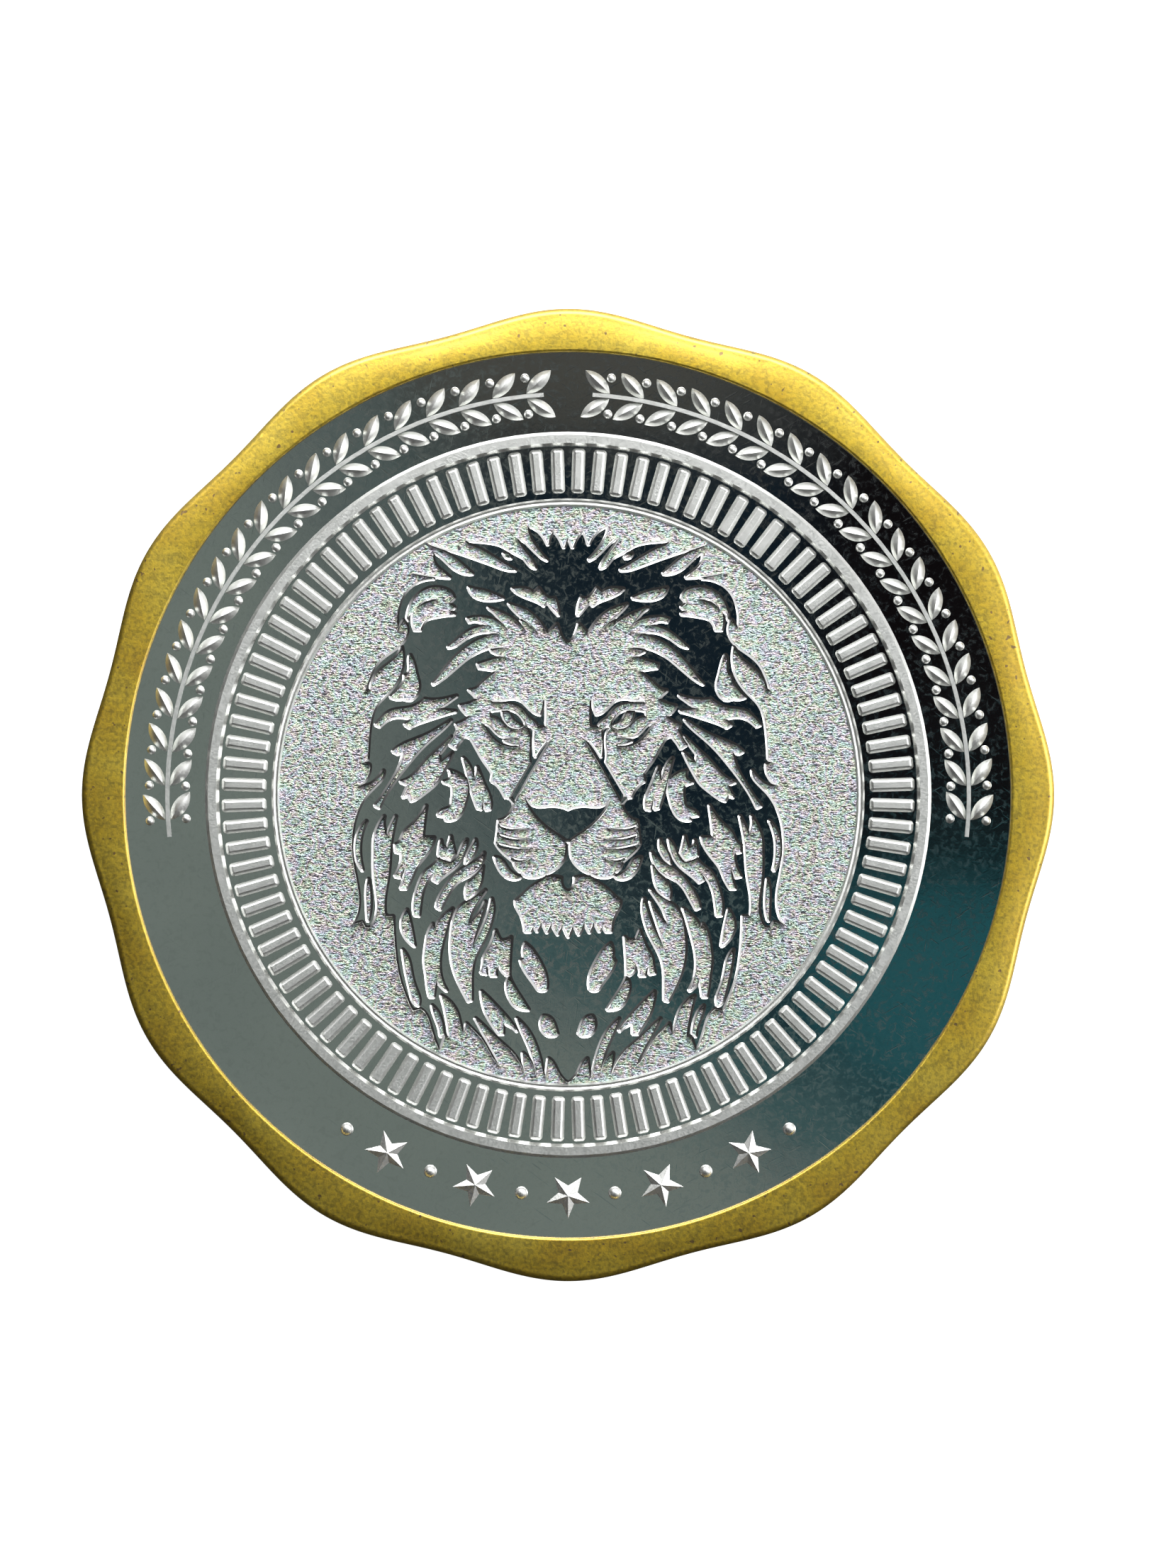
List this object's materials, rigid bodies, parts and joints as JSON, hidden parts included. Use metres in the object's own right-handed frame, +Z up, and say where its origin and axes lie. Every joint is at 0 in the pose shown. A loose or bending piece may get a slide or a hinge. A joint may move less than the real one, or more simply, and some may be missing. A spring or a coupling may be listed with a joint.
{
  "type": "challenge coin",
  "caption": "Scalloped round medal coin: raised rim, polished band with laurel and stars, ribbed ring, and a lion's head in mirror relief on a sandblasted ground.",
  "frame": {"origin": "middle of the coin's underside, on the plane the reverse rim rests on", "axes": "+Z up through the obverse, +Y towards the top of the lion's head, +X to the viewer's right"},
  "size_m": [0.0444, 0.0444, 0.003],
  "materials": {
    "gold_rim": "matte satin gold plating, fine grain",
    "mirror_silver": "mirror-polished silver plating",
    "frosted_silver": "frosted silver plating",
    "sandblasted_silver": "coarse sandblasted silver plating with a bright sparkle"
  },
  "bodies": {
    "root": {"rim_ring": "gold_rim", "core_disc": "mirror_silver", "obverse_ground": "sandblasted_silver", "obverse_bead_ring": "frosted_silver", "obverse_ribs": "frosted_silver", "obverse_border_ring": "frosted_silver", "laurel_stems": "frosted_silver", "laurel_leaves": "frosted_silver", "laurel_berries": "frosted_silver", "legend_stars": "frosted_silver", "legend_pellets": "frosted_silver", "lion_mane": "mirror_silver", "lion_brows": "mirror_silver", "lion_eyes": "mirror_silver", "lion_eye_bags": "mirror_silver", "lion_muzzle_lines": "mirror_silver", "lion_nose": "mirror_silver", "lion_ear_folds": "mirror_silver", "lion_whiskers": "mirror_silver", "reverse_ground": "sandblasted_silver", "reverse_bead_ring": "frosted_silver", "reverse_border_ring": "frosted_silver", "reverse_star": "frosted_silver", "reverse_pellets": "frosted_silver"}
  },
  "joints": []
}
